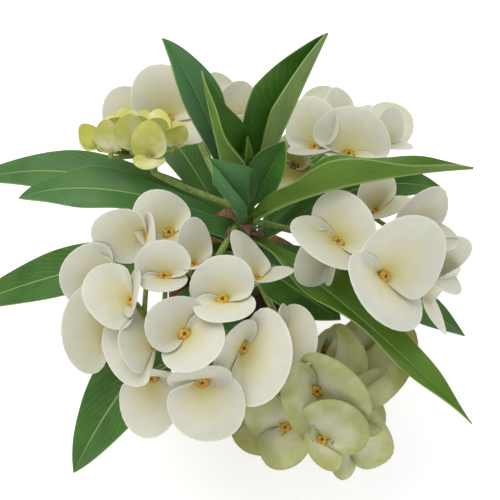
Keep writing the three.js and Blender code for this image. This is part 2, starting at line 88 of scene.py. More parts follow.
# A leaf runs through three points: where it leaves the stem, its middle and its tip. "face" is the way its upper
# side looks at its foot and "twist" how far it turns from there to its tip, "fold" how far its left and right halves
# are raised, "opens" the share of that fold which its tip has lost, and "roll" how far each margin curls outwards,
# beyond the inner "flat" share of its half. Angles are in degrees. "wave" is how far its margins ripple, "base" the
# share of its width that each half of its foot has, "point" how blunt its tip is, and "bloom" how bluish its wax is,
# partly a painted sheen of sky light; below 0 it is how far the leaf takes the painted sunlit green, lighter and
# yellower. A leaf has these where its row says nothing else:
PLAIN_LEAF = {
    "face": [0, 0, 1], "fold": [12, 12], "twist": 0, "opens": 0, "roll": [0, 0], "flat": 0.8, "wave": 2,
    "base": [0.2, 0.2], "point": 2.2, "bloom": 0,
}
LEAVES = {
    "leaf_top_left": {
        "route": [[-4, 5, 182], [-24, 26, 246], [-44, 40, 283]],
        "width": 27, "face": [0.3, -0.4, 1], "fold": [25, 30], "wave": 1, "point": 1.6, "bloom": 0.9,
    },
    "leaf_top_front": {
        "route": [[-4, -1, 188], [-13, 4, 233], [-22, 22, 276]],
        "width": 36, "face": [0.9, 0.4, 0.3], "fold": [50, 62], "twist": -30, "opens": 0.5, "point": 1.4,
        "roll": [30, 0], "bloom": -0.2,
    },
    "leaf_top_right": {
        "route": [[4, 6, 182], [29, 27, 246], [46, 44, 283]],
        "width": 52, "face": [-0.1, -0.7, 0.5], "fold": [20, 112], "wave": 3, "base": [0.65, 0.2], "point": 1.1,
    },
    "leaf_crown_front": {
        "route": [[1, -7, 186], [-8, -18, 220], [-20, -12, 244]],
        "width": 38, "face": [0.6, -0.1, 0.4], "fold": [60, 60], "wave": 1, "point": 1.6, "roll": [190, 30],
        "flat": 0.45, "bloom": 0.7,
    },
    "leaf_crown_right": {
        "route": [[5, -3, 190], [14, 0, 214], [24, 8, 235]],
        "width": 26, "face": [-0.3, -0.7, 0.5], "fold": [30, 40], "wave": 1, "point": 2.6, "bloom": 0.2,
    },
    "leaf_crown_rolled": {
        "route": [[0, 1, 200], [2, 5, 220], [3, 9, 238]],
        "width": 9, "face": [0.8, 0.6, 0.2], "fold": [45, 45], "wave": 0, "point": 1.2,
    },
    "leaf_right_high": {
        "route": [[5, -3, 176], [52, -34, 247], [125, -20, 245]],
        "width": 34, "face": [0, 0.5, 1], "fold": [45, 60], "wave": 3, "point": 1.2, "bloom": -0.7,
    },
    "leaf_left_front": {
        "route": [[-6, 0, 168], [-80, 6, 193], [-140, 13, 176]],
        "width": 27, "face": [0, -0.2, 1], "fold": [10, 10], "wave": 3, "base": [1, 0.2], "bloom": 0.4,
    },
    "leaf_left_back": {
        "route": [[-5, 4, 152], [-92, 30, 177], [-180, 42, 157]],
        "width": 29, "face": [0, -0.2, 1], "fold": [10, 10], "base": [0.8, 0.9], "bloom": 0.3,
    },
    "leaf_left_low": {"route": [[-6, 1, 140], [-96, -24, 154], [-184, -32, 116]], "width": 31, "face": [0, -0.2, 1]},
    "leaf_front_left": {"route": [[-4, -5, 136], [-62, -80, 132], [-104, -130, 86]], "width": 42},
    "leaf_front": {"route": [[-1, -6, 120], [-16, -60, 122], [-24, -100, 98]], "width": 32},
    "leaf_front_right": {
        "route": [[5, -4, 158], [61, -70, 179], [126, -130, 158]],
        "width": 40, "face": [0.2, 0.1, 1], "fold": [20, 30], "wave": 5, "point": 1, "bloom": -1,
    },
    "leaf_shade": {
        "route": [[3, -6, 140], [30, -38, 153], [58, -62, 155]],
        "width": 34, "face": [0, -0.1, 1], "base": [1, 0.2],
    },
    "leaf_right_low": {
        "route": [[6, 1, 146], [78, -32, 150], [140, -52, 118]],
        "width": 32, "base": [0.2, 1], "point": 2,
    },
    "leaf_right_back": {
        "route": [[5, 4, 136], [72, 34, 158], [132, 34, 156]],
        "width": 27, "face": [0, -0.1, 1], "fold": [14, 14],
    },
    "leaf_back_right": {"route": [[3, 6, 124], [48, 72, 136], [82, 122, 108]], "width": 32, "face": [0, 0.1, 1]},
    "leaf_back_left": {"route": [[-3, 6, 130], [-40, 78, 138], [-66, 134, 108]], "width": 32, "face": [0, 0.1, 1]},
}
LEAF_WIDEST = 0.52
# How many side veins each half has, and how far each has leant towards the tip when it meets the margin.
SIDE_VEINS = 19
VEIN_LEAN = 0.275
# How far a blade swells between those veins, flutters at its margins and dips beside its midrib.
VEIN_RELIEF = 0.14
LEAF_FLUTTER = 0.5
LEAF_HOLLOW = 0.35
# How far the midrib stands out below, and its width as a share of the leaf's.
MIDRIB_HEIGHT = 0.9
MIDRIB_WIDTH = 0.035

# A head's stalk leaves the stem at "from" and forks at "fork", towards the cups of its flowers, whose own stalks
# part within "reach" of the fork. Its bracts have corners where "round" is low and creases "crumple" deep, its glands
# are "cup" times the full size, and a "withered" head has dried styles between them.
PLAIN_HEAD = {"round": 3, "crumple": 0.6, "cup": 1, "withered": False}
# Each of its flowers has the place of its cup and its two bracts: the way a bract reaches, as a turn from +X and a
# rise above the horizon, its length as a share of a full bract's and its width as a share of a broad one's. The
# flower looks half-way between them. With a "lap" of -1 each bract lies over the next one anticlockwise, not
# clockwise. With an "age" of 1 the flower has turned olive and its glands are dried up.
PLAIN_FLOWER = {"lap": 1, "age": 0}
HEADS = {
    "head_front_left": {
        "from": [-4, -4, 172], "fork": [-36, -63, 158], "reach": 53,
        "flowers": [
            ((-42, -68, 210), (105, 71, 0.83, 0.75), (-90, 33, 0.67, 0.75)),
            ((-59, -79, 201), (-177, 26, 1, 0.85), (20, 76, 0.7, 0.9)),
            ((-31, -97, 198), (150, 55, 0.87, 0.8), (-51, 20, 0.93, 0.8), {"lap": -1}),
            ((-11, -78, 202), (95, 60, 0.9, 0.8), (-81, 29, 0.83, 0.8)),
            ((0, -94, 181), (-41, 14, 1.13, 1), (-133, 46, 0.87, 0.9)),
            ((-22, -111, 175), (-78, -26, 1.2, 0.7), (-129, 73, 0.8, 0.9)),
            ((-46, -100, 194), (-170, 4, 0.93, 1), (-160, 37, 0.83, 0.8)),
            ((-29, -59, 205), (90, 53, 0.97, 0.6), (-17, 35, 0.8, 0.8)),
            ((-54, -35, 205), (-168, 17, 1.13, 0.6), (-73, 25, 0.73, 0.9)),
            ((-43, -31, 198), (135, 52, 0.93, 0.8), (-45, 20, 0.8, 0.8)),
            ((-76, -47, 178), (-176, 27, 1.03, 1.05), (-105, 20, 0.93, 0.8)),
            ((-76, -70, 159), (-171, 28, 1.07, 1.05), (-60, 40, 0.8, 0.8)),
            ((7, -58, 189), (122, 47, 1.1, 0.5), (-2, 31, 0.83, 0.6)),
            ((20, -80, 165), (-28, 37, 1, 0.8), (-103, 64, 0.93, 0.8)),
            ((-51, -102, 163), (-91, -25, 1.2, 0.58), (-90, 69, 0.77, 0.9)),
        ],
    },
    "head_right": {
        "from": [5, 0, 170], "fork": [85, -25, 175], "reach": 50,
        "flowers": [
            ((75, -66, 209), (29, 40, 1.33, 0.85), (-91, 4, 1.1, 1.2)),
            ((54, -45, 209), (58, 71, 1.13, 0.78), (-138, 34, 1.13, 0.85)),
            ((95, -32, 204), (49, 67, 1.03, 0.8), (-49, 23, 1, 0.8)),
            ((76, -15, 197), (101, 64, 0.9, 1), (-20, 40, 0.87, 0.8), {"age": 0.4}),
            ((104, -42, 185), (4, 51, 1.03, 0.7), (-67, 15, 1, 0.8)),
            ((101, -54, 171), (17, 35, 1, 0.8), (-55, -14, 0.93, 0.9)),
            ((52, -41, 194), (-155, 21, 0.93, 0.8), (-93, 30, 0.73, 0.8)),
        ],
    },
    "head_back_right": {
        "from": [4, 5, 164], "fork": [69, 71, 158], "reach": 38,
        "flowers": [
            ((64, 31, 195), (67, 60, 1.03, 1), (-90, 39, 0.67, 1), {"lap": -1}),
            ((46, 38, 193), (107, 52, 1.13, 0.7), (-131, 31, 0.73, 0.8)),
            ((62, 59, 188), (133, 60, 0.93, 0.8), (-13, 51, 0.9, 0.8)),
            ((86, 46, 187), (63, 60, 0.9, 0.8), (-30, 25, 0.75, 0.8)),
            ((34, 41, 173), (110, 67, 0.8, 0.7), (-127, 9, 1, 1), {"age": 1}),
            ((58, 94, 156), (110, 42, 0.9, 0.8), (110, -45, 0.9, 0.8)),
            ((92, 81, 156), (50, 40, 0.9, 0.8), (50, -45, 0.9, 0.8)),
        ],
    },
    "head_back_left": {
        "from": [-3, 6, 162], "fork": [-33, 89, 152], "reach": 42,
        "flowers": [
            ((-49, 58, 197), (96, 52, 1.23, 0.8), (-54, 13, 1.07, 0.8)),
            ((-66, 72, 187), (-174, 31, 0.9, 0.8), (-90, 35, 0.87, 0.8)),
            ((-10, 60, 190), (-10, 33, 1, 0.8), (60, 51, 1, 1.1)),
            ((-50, 112, 158), (105, 45, 0.9, 0.8), (110, -40, 0.9, 0.8)),
            ((-22, 104, 156), (75, 45, 0.9, 0.8), (75, -40, 0.9, 0.8)),
            ((-76, 92, 156), (140, 40, 0.9, 0.8), (165, -30, 0.9, 0.8)),
        ],
    },
    "head_front_right": {
        "from": [3, -6, 134], "fork": [46, -90, 112], "reach": 34, "crumple": 2.2, "withered": True,
        "flowers": [
            ((41, -106, 153), (-18, 33, 1.07, 1.1), (-118, 11, 1.07, 1.1)),
            ((46, -81, 154), (-43, 13, 1.1, 0.85), (-123, 35, 0.9, 0.9)),
            ((66, -81, 146), (156, 63, 0.87, 1), (-43, 15, 1.2, 1.2)),
            ((65, -107, 136), (44, 64, 0.93, 0.9), (-60, 1, 0.8, 0.8)),
            ((43, -131, 139), (35, 50, 1, 0.9), (-89, 25, 0.77, 0.7)),
            ((61, -121, 120), (-6, 20, 0.93, 1), (-113, 14, 0.87, 0.9)),
            ((26, -121, 136), (160, 45, 0.9, 0.9), (-85, 8, 0.9, 0.9)),
            ((6, -111, 120), (49, 65, 0.93, 1), (-72, 2, 0.83, 0.9)),
        ],
    },
    "head_bud": {
        "from": [-4, 5, 176], "fork": [-54, 20, 192], "reach": 24, "round": 1.6, "crumple": 1.6, "cup": 0.45,
        "flowers": [
            ((-86, 22, 213), (133, -10, 0.57, 0.6), (138, 48, 0.6, 0.6)),
            ((-78, 16, 214), (94, 18, 0.87, 0.5), (108, 70, 0.73, 0.6)),
            ((-65, 16, 217), (94, 24, 0.9, 0.5), (94, 69, 0.8, 0.6), {"lap": -1}),
            ((-54, 10, 218), (90, 74, 0.8, 0.7), (-90, 28, 0.6, 0.8)),
            ((-52, 22, 217), (87, 21, 0.73, 0.6), (67, 82, 0.7, 0.6)),
            ((-41, 20, 215), (83, 15, 0.63, 0.6), (32, 77, 0.6, 0.6), {"lap": -1}),
            ((-73, 27, 209), (90, 17, 0.8, 0.5), (102, 75, 0.73, 0.6)),
            ((-61, 27, 210), (90, 17, 0.8, 0.5), (102, 75, 0.73, 0.6)),
        ],
    },
}
# How far one side of a bract rises above its neighbour, how far its rim waves, how much steeper it is at its foot,
# how much of its middle's rise its sides have, and the share of its length at which it starts.
BRACT_LAP = 2.2
BRACT_WAVE = 0.45
BRACT_FLARE = 0.3
BRACT_SIDE = 0.45
BRACT_FOOT = 0.04
# A cup and the dried heart between its glands, as heights and radii from the cup's foot up, and then down inside.
CUP = ((0.2, 1.5), (1.2, 2), (2.2, 2.4), (3, 2.3), (2.7, 1.4), (2.4, 0.9))
CUP_HEART = ((2.3, 0.9), (2.8, 0.8), (3.2, 0.5))
GLANDS = 5
GLAND_PLACE = (1.95, 0, 2.95)
GLAND_RADII = (1.4, 1.75, 0.85)
GLAND_LEAN = 18
STYLE_RADII = (0.28, 0.2, 0.14)
# A head's stalk gets thinner at each fork, and holds a cup between two heights.
STALK_RADIUS = 2.1
BRANCH_RADIUS = 1.6
TWIG_RADIUS = 1.45
STALK_END = ((-1.5, 1.3), (1.36, 1.7))

# How far apart pieces stand where they fit together, how far the pot's edges are broken, where its drain holes are,
# in degrees from +X, and how many rings the soil's top has.
FIT_GAP = 0.35
POT_EDGE = 1.5
DRAIN_TURNS = (45, 135, 225, 315)
SOIL_RINGS = 40

# Where the camera looks, how large the floor is, and where the key light is, where it shines and how wide it is.
CAMERA_TARGET = (4, -31.13, 183.2)
FLOOR_RADIUS = 6000
KEY_PLACE = (-350, 100, 1250)
KEY_TARGET = (0, -20, 170)
KEY_SIZE = 900

# Corners nearer than this are one corner.
SAME_PLACE = 0.001


# ---------- settings ----------


def linear(hex_colour):
    """An sRGB hex colour as linear red, green and blue."""
    shares = [int(hex_colour[i : i + 2], 16) / 255 for i in (0, 2, 4)]
    return [c / 12.92 if c <= 0.04045 else ((c + 0.055) / 1.055) ** 2.4 for c in shares]


def length(name, description, default):
    """A length setting, given in millimetres."""
    return FloatProperty(name=name, description=description, default=default * MM, precision=4, unit="LENGTH")


def angle(name, description, default):
    """An angle setting, given in degrees."""
    return FloatProperty(name=name, description=description, default=radians(default), subtype="ANGLE")


def paint(name, description, default):
    """A colour setting, given as sRGB hex."""
    colour = linear(default)
    return FloatVectorProperty(name=name, description=description, default=colour, min=0, max=1, subtype="COLOR")


class PotSettings(bpy.types.PropertyGroup):
    """Sizes and colours of the pot and its soil."""

    height: length("Height", "From the foot to the top of the rim", 92)
    foot_radius: length("Foot radius", "Radius of the flat foot", 37)
    rim_radius: length("Rim radius", "Outer radius of the rim", 52)
    wall: length("Wall", "Thickness of the wall", 5)
    floor: length("Floor", "Thickness of the floor", 6)
    band: length("Rim band", "Height of the thicker band at the rim", 20)
    step: length("Band step", "How far the band stands out from the wall", 3.5)
    soil_depth: length("Soil below rim", "How far the soil lies below the rim", 12)
    soil_mound: length("Soil mound", "How much higher the soil is at the stem", 5)
    drain_radius: length("Drain hole radius", "Radius of each hole in the floor", 4)
    drain_outwards: length("Drain hole place", "From the pot's middle to each hole", 20)
    # painted shade: the clay is far darker than fresh clay, so that its rim, which shows between the leaves, reads as
    # the deep shade under them
    clay: paint("Clay", "Weathered fired clay of the pot", "84503a")
    earth: paint("Soil", "Moist potting mix", "3a2a1e")


class StemSettings(bpy.types.PropertyGroup):
    """Sizes and colours of the thorny stem."""

    thorn_length: length("Thorn length", "From the bark to the tip of the longest thorns", 13)
    thorn_radius: length("Thorn radius", "Radius at a thorn's foot", 1.6)
    green: paint("Green bark", "Young bark near the tip", "4c6428")
    brown: paint("Brown bark", "Old bark near the soil", "6b5a44")
    thorn: paint("Thorn", "Horny thorn", "5b4a3c")
    scale_length: length("Scale length", "Length of the longest withered scales", 11)
    scale_thickness: length("Scale thickness", "Thickness of a withered scale", 0.35)
    dried: paint("Dried scale", "Withered scales at the leaf feet", "8a6555")


class LeafSettings(bpy.types.PropertyGroup):
    """Sizes and colours of the leaves."""

    thickness: length("Thickness", "Thickness of a leaf's blade", 0.8)
    upper: paint("Upper side", "Waxy upper side", "3a6a1c")
    under: paint("Under side", "Paler under side", "62852f")
    rib: paint("Midrib", "Midrib and margin", "93ad62")
    # painted sunlight: a lighter, yellower green for leaves that stand in the sun
    sunlit: paint("Sunlit leaf", "Leaves that stand in the sun", "567a0e")
    # bluish wax of young leaves, partly a painted bluish sheen of sky light
    wax: paint("Waxy bloom", "Bluish wax of young leaves", "57895a")


class FlowerSettings(bpy.types.PropertyGroup):
    """Sizes and colours of the flowers."""

    bract_length: length("Bract length", "From the cup to the rim, on a flower of size one", 30)
    bract_thickness: length("Bract thickness", "Thickness of a bract", 0.5)
    style_length: length("Style length", "Length of a withered style", 6)
    bract_spread: angle("Bract spread", "How far a bract reaches round the cup from its middle line", 140)
    cream: paint("Cream bract", "Open bracts, towards their rim", "d1d0c2")
    warm: paint("Warm bract", "The middle of open bracts", "d5cdaa")
    throat: paint("Throat", "Foot of an open bract", "cbc47f")
    green_cream: paint("Greenish bract", "Older bracts, towards their rim", "9ea165")
    pale_green: paint("Pale greenish bract", "The middle of older bracts", "cdccb6")
    bud: paint("Bud bract", "Bracts in bud", "cbca66")
    bud_edge: paint("Bud edge", "Green rims of the bracts in bud", "8fa03c")
    old: paint("Old bract", "Bracts that yellow with age", "8d8a35")
    # painted highlight: the bright line that light shining through a bract's thin rim gives
    rim: paint("Bract rim", "Thin skin at a bract's rim", "f4f3e8")
    gland: paint("Nectar gland", "Glands on the cup", "c69a2c")
    dried: paint("Dried style", "Withered styles and the middle of the cup", "42290f")
    stalk: paint("Stalk", "Forked flower stalks", "7f9444")


class StageSettings(bpy.types.PropertyGroup):
    """Floor, light and camera."""

    floor: paint("Floor", "Plain pale floor", "fdfdfd")
    glow: FloatProperty(name="Floor glow", description="Light that the backlit floor gives off itself", default=0.4)
    key: FloatProperty(name="Key light", description="Power of the large overhead light", default=6.5, unit="POWER")
    fill: FloatProperty(name="Fill light", description="Strength of the even light all round", default=0.7)
    distance: length("Camera distance", "From the camera to the middle of the plant", 550)
    elevation: angle("Camera elevation", "How far above the horizon the camera stands", 55)
    lens: FloatProperty(name="Lens", description="Focal length in millimetres", default=67.3)


# ---------- modelling tools ----------


def direction(turn, rise):
    """The way that lies a turn from +X and a rise above the horizon, in degrees."""
    level = cos(radians(rise))
    return Vector((level * cos(radians(turn)), level * sin(radians(turn)), sin(radians(rise))))


def smoothstep(value, low, high):
    """0 below low, 1 above high and a smooth step in between."""
    t = max(0.0, min(1.0, (value - low) / (high - low)))
    return t * t * (3 - 2 * t)


def shaped_grid(bm, columns, rows, place):
    """Adds a grid and moves each corner to place(u, v), with u and v from 0 to 1. Returns its corners."""
    corners = bmesh.ops.create_grid(bm, x_segments=columns, y_segments=rows, size=1, calc_uvs=True)["verts"]
    for corner in corners:
        corner.co = place((corner.co.x + 1) / 2, (corner.co.y + 1) / 2)
    return corners


def thickened(bm, corners, thickness):
    """Gives a shaped grid a thickness, half to each side. Returns the corners of its under side."""
    bmesh.ops.remove_doubles(bm, verts=corners, dist=SAME_PLACE * MM)
    corners = [corner for corner in corners if corner.is_valid]
    faces = list({face for corner in corners for face in corner.link_faces})
    bm.normal_update()
    for corner in corners:
        corner.co += corner.normal * thickness / 2
    made = bmesh.ops.solidify(bm, geom=faces, thickness=thickness)["geom"]
    under = [item for item in made if isinstance(item, bmesh.types.BMFace)]
    for face in under:
        face.material_index = 1
    return list({corner for face in under for corner in face.verts})


def smooth_path(points, steps):
    """Points along a smooth line through points, with a number of steps between each two."""
    made = [points[0]]
    for i in range(len(points) - 1):
        start, end = points[i], points[i + 1]
        before = points[max(i - 1, 0)]
        after = points[min(i + 2, len(points) - 1)]
        reach = (end - start).length / 3
        leave = start + (end - before).normalized() * reach
        arrive = end - (after - start).normalized() * reach
        made += interpolate_bezier(start, leave, arrive, end, steps + 1)[1:]
    return made


def tube(bm, points, radii, sides, bumps=None):
    """Adds a closed tapering tube through points, whose radii are spread evenly over them. Returns its corners."""
    last = len(points) - 1
    frames = []
    across = None
    for i, p in enumerate(points):
        along = (points[min(i + 1, last)] - points[max(i - 1, 0)]).normalized()
        if across is None:
            across = along.cross(Vector((1, 0, 0)) if abs(along.z) > 0.9 else UP)
        across = (across - along * across.dot(along)).normalized()
        frames.append((p, across.copy(), along.cross(across)))

    def place(u, v):
        row = round(v * (last + 2))
        p, side, other = frames[min(max(row - 1, 0), last)]
        if row in (0, last + 2):
            return p
        at = (row - 1) / last * (len(radii) - 1)
        low = min(int(at), len(radii) - 2)
        radius = radii[low] + (radii[low + 1] - radii[low]) * (at - low)
        if bumps:
            radius *= bumps(u, (row - 1) / last)
        return p + (side * cos(tau * u) + other * sin(tau * u)) * radius

    corners = shaped_grid(bm, sides, last + 2, place)
    bmesh.ops.remove_doubles(bm, verts=corners, dist=SAME_PLACE * MM)
    return [corner for corner in corners if corner.is_valid]


def new_mesh():
    """A bmesh with a map of where each corner lies on its surface, and a tint and an age for each corner."""
    bm = bmesh.new()
    bm.loops.layers.uv.new("surface")
    bm.verts.layers.float.new("tint")
    bm.verts.layers.float.new("age")
    return bm


def marked(bm, corners, **values):
    """Gives corners a tint or an age, which their material reads."""
    for name, value in values.items():
        layer = bm.verts.layers.float[name]
        for corner in corners:
            corner[layer] = value


def new_object(name, bm):
    """Makes an object from a bmesh and links it to the scene."""
    mesh = bpy.data.meshes.new(name)
    bm.to_mesh(mesh)
    bm.free()
    made = bpy.data.objects.new(name, mesh)
    bpy.context.scene.collection.objects.link(made)
    return made


def finished(name, bm, materials, node, slot, sharp=50, turn=True):
    """Makes a piece from a bmesh. It rides with the plant and stands for a CAD node."""
    if turn:
        bmesh.ops.recalc_face_normals(bm, faces=bm.faces)
    piece = new_object(name, bm)
    piece.data.shade_smooth()
    piece.data.set_sharp_from_angle(angle=radians(sharp))
    for material in materials:
        piece.data.materials.append(material)
    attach(piece, "root")
    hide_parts(node)
    return piece


# ---------- materials ----------


def node(tree, kind, inputs=None, **settings):
    """Adds a node. Settings are its own, and each input is a socket's value or the output that feeds the socket."""
    made = tree.nodes.new(kind)
    for name, value in settings.items():
        setattr(made, name, value)
    for socket, value in (inputs or {}).items():
        if isinstance(value, bpy.types.NodeSocket):
            tree.links.new(value, made.inputs[socket])
        else:
            made.inputs[socket].default_value = value
    return made


def ramp(tree, source, low, high, start=0.0, end=1.0, ease="LINEAR"):
    """A number that runs from start to end while its source runs from low to high."""
    inputs = {"Value": source, "From Min": low, "From Max": high, "To Min": start, "To Max": end}
    return node(tree, "ShaderNodeMapRange", inputs, interpolation_type=ease).outputs[0]


def blend(tree, share, lower, upper):
    """A colour with a share of the upper one laid over the lower one."""
    return node(tree, "ShaderNodeMix", {0: share, 6: lower, 7: upper}, data_type="RGBA").outputs[2]


def maths(tree, operation, *terms):
    """What an operation makes of its terms."""
    return node(tree, "ShaderNodeMath", dict(enumerate(terms)), operation=operation).outputs[0]


def grain(tree, scale, detail, roughness=0.5, where=None):
    """Noise of a scale in the piece's own metres, or in the measure of another layout."""
    if where is None:
        where = node(tree, "ShaderNodeTexCoord").outputs["Object"]
    inputs = {"Vector": where, "Scale": scale, "Detail": detail, "Roughness": roughness}
    return node(tree, "ShaderNodeTexNoise", inputs).outputs[0]


def mark(tree, name):
    """The tint or age that the corners of a piece are marked with."""
    return node(tree, "ShaderNodeAttribute", attribute_name=name).outputs["Fac"]


def surface(tree):
    """Where a point lies on a leaf or bract, and its shares of the way across and of the way out."""
    where = node(tree, "ShaderNodeUVMap", uv_map="surface").outputs[0]
    parts = node(tree, "ShaderNodeSeparateXYZ", {0: where}).outputs
    return where, parts["X"], parts["Y"]


def rgba(colour, *factors):
    """A colour as a socket takes it, times one factor or one for each of red, green and blue."""
    factors = factors if len(factors) == 3 else (factors or (1.0,)) * 3
    return (*(min(1.0, c * f) for c, f in zip(colour, factors)), 1.0)


def new_material(name, **values):
    """A material with a Principled shader whose sockets have the given values. Returns it, its tree and shader."""
    material = bpy.data.materials.new(name)
    material.use_nodes = True
    tree = material.node_tree
    shader = tree.nodes["Principled BSDF"]
    for socket, value in values.items():
        shader.inputs[socket.replace("_", " ")].default_value = value
    return material, tree, shader


def covered(material, colour, height, strength, depth):
    """Gives a material its colour, and bumps of a depth in metres from a pattern of heights. Returns it."""
    tree = material.node_tree
    shader = tree.nodes["Principled BSDF"]
    bump = node(tree, "ShaderNodeBump", {"Height": height, "Strength": strength, "Distance": depth})
    tree.links.new(colour, shader.inputs["Base Color"])
    tree.links.new(bump.outputs[0], shader.inputs["Normal"])
    return material


def bract_skin(name, colour, warm, throat, old, rim, vein_share, patch_share, depth):
    """Living bract tissue: thin, silky and slightly see-through, so light softens inside it and its shadows stay
    warm. It is warmer towards its foot and greenish there, has faint veins that fan out, pale patches, creases of a
    depth in metres, and a band of the rim colour at its rim, on cream bracts a painted highlight of light shining
    through the thin edge. With age it yellows from the foot outwards."""
    material, tree, _ = new_material(
        name,
        Roughness=0.52,
        Subsurface_Weight=0.35,
        Subsurface_Radius=(1.0, 0.95, 0.7),
        Subsurface_Scale=0.0022,
        Sheen_Weight=0.08,
    )
    where, _, out = surface(tree)
    # veins fan out from the foot: about forty across a bract, so each is near 1 mm wide
    fan = node(tree, "ShaderNodeMapping", {"Vector": where, "Scale": (34, 1.4, 1)}).outputs[0]
    veins = grain(tree, 1.0, 3.0, 0.6, fan)
    # blotches some 12 mm wide, where the tissue is thicker
    blotches = grain(tree, 85.0, 2.0)
    tone = blend(tree, ramp(tree, out, 0.3, 0.85, 1.0, 0.0, "SMOOTHSTEP"), rgba(colour), rgba(warm))
    tone = blend(tree, ramp(tree, out, 0.06, 0.46, 1.0, 0.0, "SMOOTHERSTEP"), tone, rgba(throat))
    tone = blend(tree, ramp(tree, blotches, 0.45, 0.75, 0.0, patch_share), tone, rgba((0.8, 0.8, 0.62)))
    tone = blend(tree, ramp(tree, veins, 0.35, 0.7, 0.0, vein_share), tone, rgba(throat, 0.86, 0.92, 0.8))
    from_foot = ramp(tree, out, 0.45, 1.0, 1.0, 0.35, "SMOOTHSTEP")
    tone = blend(tree, maths(tree, "MULTIPLY", mark(tree, "age"), from_foot), tone, rgba(old))
    # a band at the rim; on cream bracts a painted highlight of light shining through the thin edge
    tone = blend(tree, ramp(tree, out, 0.955, 0.99, 0.0, 0.25), tone, rgba(rim))
    # no two bracts are quite as light as each other
    light = maths(tree, "MULTIPLY_ADD", mark(tree, "tint"), 0.08, ramp(tree, blotches, 0.3, 0.7, 0.97, 1.02))
    tone = node(tree, "ShaderNodeHueSaturation", {"Value": light, "Color": tone}).outputs[0]
    relief = node(tree, "ShaderNodeMix", {0: 0.3, 2: veins, 3: blotches}, data_type="FLOAT").outputs[0]
    return covered(material, tone, relief, 0.4, depth)


def leaf_skin(name, colour, settings, roughness, coat):
    """Waxy leaf skin: deep green with a satin gloss, a paler midrib and margin, side veins that lean towards the
    tip, and cloudy patches where the wax is thicker. Leaves that stand in the sun take a painted sunlit green, lighter
    and yellower, and young ones are bluish with wax, partly a painted sheen of sky light."""
    material, tree, shader = new_material(
        name,
        Specular_IOR_Level=0.35,
        Subsurface_Weight=0.08,
        Subsurface_Scale=0.001,
        Coat_Weight=coat,
        Coat_Roughness=0.35,
    )
    _, across, along = surface(tree)
    side = maths(tree, "ABSOLUTE", maths(tree, "SUBTRACT", across, 0.5))
    # clouds of wax some 18 mm wide, and pores near 1 mm apart
    clouds = grain(tree, 55.0, 4.0, 0.55)
    pores = grain(tree, 900.0, 2.0)
    # the side veins run where the blade sinks, a little crooked
    lean = maths(tree, "MULTIPLY_ADD", side, -2 * VEIN_LEAN, along)
    crooked = maths(tree, "MULTIPLY_ADD", clouds, 0.035, lean)
    wave = maths(tree, "SINE", maths(tree, "MULTIPLY", crooked, tau * SIDE_VEINS))
    vein = ramp(tree, wave, 0.82, 1.0, ease="SMOOTHSTEP")
    midrib = ramp(tree, side, 0.006, 0.03, 0.75, 0.0, "SMOOTHSTEP")
    margin = ramp(tree, side, 0.484, 0.499, 0.0, 0.6)
    bloom = mark(tree, "tint")
    tone = blend(tree, ramp(tree, clouds, 0.35, 0.68), rgba(colour, 0.8), rgba(colour, 1.35, 1.18, 1.2))
    # painted sunlight: leaves marked below 0 take the lighter, yellower sunlit green
    tone = blend(tree, ramp(tree, bloom, 0.0, -1.0, 0.0, 0.85), tone, rgba(settings.sunlit))
    # leaves marked above 0 take the bluish wax, partly a painted sheen of sky light
    tone = blend(tree, ramp(tree, bloom, 0.0, 1.0, 0.0, 0.7), tone, rgba(settings.wax))
    pale = maths(tree, "MAXIMUM", midrib, margin)
    pale = maths(tree, "MAXIMUM", pale, maths(tree, "MULTIPLY", vein, 0.13))
    tone = blend(tree, pale, tone, rgba(settings.rib))
    gloss = ramp(tree, clouds, 0.3, 0.7, roughness - 0.06, roughness + 0.08)
    tree.links.new(gloss, shader.inputs["Roughness"])
    relief = maths(tree, "MULTIPLY_ADD", pores, 0.25, vein)
    return covered(material, tone, relief, 0.35, 0.0003)


def grained_skin(name, colour, shades, scale, roughness, depth, dried=None):
    """A rough or fleshy skin, darker and lighter than its colour by two factors, in grains of one size with bumps to
    match, so that the eye can tell its size. Where its tint is 1 it has dried up."""
    material, tree, _ = new_material(name, Roughness=roughness)
    grains = grain(tree, scale, 5.0, 0.6)
    tone = blend(tree, ramp(tree, grains, 0.36, 0.64), *(rgba(colour, shade) for shade in shades))
    if dried:
        tone = blend(tree, mark(tree, "tint"), tone, rgba(dried))
    return covered(material, tone, grains, 0.6, depth)


def bark_skin(name, green, brown):
    """Fleshy bark: green near the tip, corky brown towards the soil, with raised grey specks."""
    material, tree, _ = new_material(name, Roughness=0.6)
    place = node(tree, "ShaderNodeTexCoord").outputs["Object"]
    height = node(tree, "ShaderNodeSeparateXYZ", {0: place}).outputs["Z"]
    cork = grain(tree, 260.0, 5.0, 0.65)
    corky = maths(tree, "ADD", ramp(tree, height, YOUNG_BARK * MM, OLD_BARK * MM, -0.25, 0.8), cork)
    tone = blend(tree, ramp(tree, corky, 0.45, 0.95), rgba(green), rgba(brown))
    return covered(material, tone, cork, 0.7, 0.0006)


# ---------- pot and soil ----------


def turned(bm, outline, steps):
    """Spins an outline of radius and height points, whose ends are on the Z axis, into a closed body."""
    corners = [bm.verts.new((radius, 0, height)) for radius, height in outline]
    edges = [bm.edges.new(pair) for pair in zip(corners, corners[1:])]
    bmesh.ops.spin(
        bm, geom=corners + edges, cent=(0, 0, 0), axis=(0, 0, 1), angle=tau, steps=steps, use_merge=True
    )
    bmesh.ops.remove_doubles(bm, verts=bm.verts, dist=SAME_PLACE * MM)


def wall_radius(pot, z):
    """Radius of the pot's outer wall at a height."""
    return pot.foot_radius + (pot.rim_radius - pot.step - pot.foot_radius) * z / pot.height


